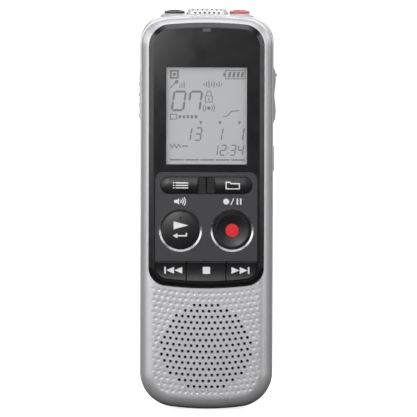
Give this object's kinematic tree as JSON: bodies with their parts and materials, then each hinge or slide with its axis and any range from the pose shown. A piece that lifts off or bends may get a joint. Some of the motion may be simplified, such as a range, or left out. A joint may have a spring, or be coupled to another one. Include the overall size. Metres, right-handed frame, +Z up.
{
  "type": "handheld voice recorder",
  "caption": "Slim upright voice recorder: silver two-part case, dark display and key panel, perforated speaker face, side slide and rocker, hinged battery door.",
  "frame": {"origin": "under the middle of the bottom end, at the lowest point of the body", "axes": "+Z up the body to the microphone end, -Y out of the key and display face, +X to the right when facing the keys"},
  "size_m": [0.0398, 0.0213, 0.1151],
  "materials": {
    "silver_case": "satin metallic paint",
    "side_control": "satin metallic paint",
    "panel_gloss": "gloss",
    "window_clear": "clear gloss",
    "lens_smoke": "smoked light guide, satin",
    "keypad_plate": "fine satin",
    "key_gloss": "semi-gloss",
    "bezel_chrome": "dark bright plating",
    "record_red": "satin",
    "ring_black": "gloss",
    "ring_red": "gloss",
    "grille_metal": "satin",
    "key_rubber": "matte",
    "spring_steel": "bright",
    "board_green": "satin",
    "component_black": "matte",
    "connector_rubber": "matte",
    "display_grey": "matte polariser",
    "holder_white": "matte",
    "speaker_cloth": "woven",
    "speaker_foam": "matte",
    "speaker_steel": "zinc plated",
    "speaker_film": "satin film",
    "jack_black": "satin",
    "cell_jacket": "gloss label"
  },
  "bodies": {
    "main_body": {"battery_bridge": "spring_steel", "battery_left": "cell_jacket", "battery_right": "cell_jacket", "battery_spring_high": "spring_steel", "battery_spring_low": "spring_steel", "board_chips": "component_black", "case_screws": "spring_steel", "display_connector": "connector_rubber", "display_glass": "display_grey", "display_holder": "holder_white", "display_panel": "panel_gloss", "display_window": "window_clear", "earphone_jack": "jack_black", "earphone_ring": "ring_black", "front_case": "silver_case", "hinge_pins": "spring_steel", "indicator_led": "holder_white", "indicator_lens": "lens_smoke", "key_bezels": "bezel_chrome", "key_domes": "spring_steel", "key_mat": "key_rubber", "keypad_plate": "keypad_plate", "main_board": "board_green", "microphone": "speaker_steel", "microphone_boot": "speaker_foam", "microphone_grille": "grille_metal", "microphone_jack": "jack_black", "microphone_ring": "ring_red", "negative_contact": "spring_steel", "positive_contact": "spring_steel", "rear_case": "silver_case", "rocker_pin": "spring_steel", "side_switches": "component_black", "slide_switch": "component_black", "speaker_cone": "speaker_film", "speaker_frame": "speaker_steel", "speaker_gasket": "speaker_foam", "speaker_magnet": "speaker_steel", "speaker_mesh": "speaker_cloth"},
    "menu": {"menu_key": "key_gloss"},
    "folder": {"folder_key": "key_gloss"},
    "play": {"play_key": "key_gloss"},
    "record": {"record_key": "key_gloss", "record_mark": "record_red"},
    "rewind": {"rewind_key": "key_gloss"},
    "stop": {"stop_key": "key_gloss"},
    "forward": {"forward_key": "key_gloss"},
    "hold_slide": {"power_hold_knob": "side_control", "slide_switch_lever": "component_black"},
    "volume": {"volume_rocker": "side_control"},
    "erase": {"erase_button": "side_control"},
    "door": {"battery_door": "silver_case"}
  },
  "joints": [
    {"name": "menu_press", "type": "slide", "parent": "main_body", "child": "menu", "axis": [0, 1, 0], "range_m": [0, 0.0004], "stiffness_N_per_m": 4000},
    {"name": "folder_press", "type": "slide", "parent": "main_body", "child": "folder", "axis": [0, 1, 0], "range_m": [0, 0.0004], "stiffness_N_per_m": 4000},
    {"name": "play_press", "type": "slide", "parent": "main_body", "child": "play", "axis": [0, 1, 0], "range_m": [0, 0.0004], "stiffness_N_per_m": 4000},
    {"name": "record_press", "type": "slide", "parent": "main_body", "child": "record", "axis": [0, 1, 0], "range_m": [0, 0.0004], "stiffness_N_per_m": 4000},
    {"name": "rewind_press", "type": "slide", "parent": "main_body", "child": "rewind", "axis": [0, 1, 0], "range_m": [0, 0.0004], "stiffness_N_per_m": 4000},
    {"name": "stop_press", "type": "slide", "parent": "main_body", "child": "stop", "axis": [0, 1, 0], "range_m": [0, 0.0004], "stiffness_N_per_m": 4000},
    {"name": "forward_press", "type": "slide", "parent": "main_body", "child": "forward", "axis": [0, 1, 0], "range_m": [0, 0.0004], "stiffness_N_per_m": 4000},
    {"name": "hold_slide_move", "type": "slide", "parent": "main_body", "child": "hold_slide", "axis": [0, 0, 1], "range_m": [-0.002, 0.002]},
    {"name": "volume_rock", "type": "hinge", "parent": "main_body", "child": "volume", "pos_m": [0.0169, 0.0009, 0.0902], "axis": [0, 1, 0], "range_deg": [-2.5, 2.5], "stiffness_Nm_per_rad": 0.36},
    {"name": "erase_press", "type": "slide", "parent": "main_body", "child": "erase", "axis": [-1, 0, 0], "range_m": [0, 0.00035], "stiffness_N_per_m": 4000},
    {"name": "door_hinge", "type": "hinge", "parent": "main_body", "child": "door", "pos_m": [0, 0.00865, 0.008], "axis": [-1, 0, 0], "range_deg": [0, 90]}
  ]
}
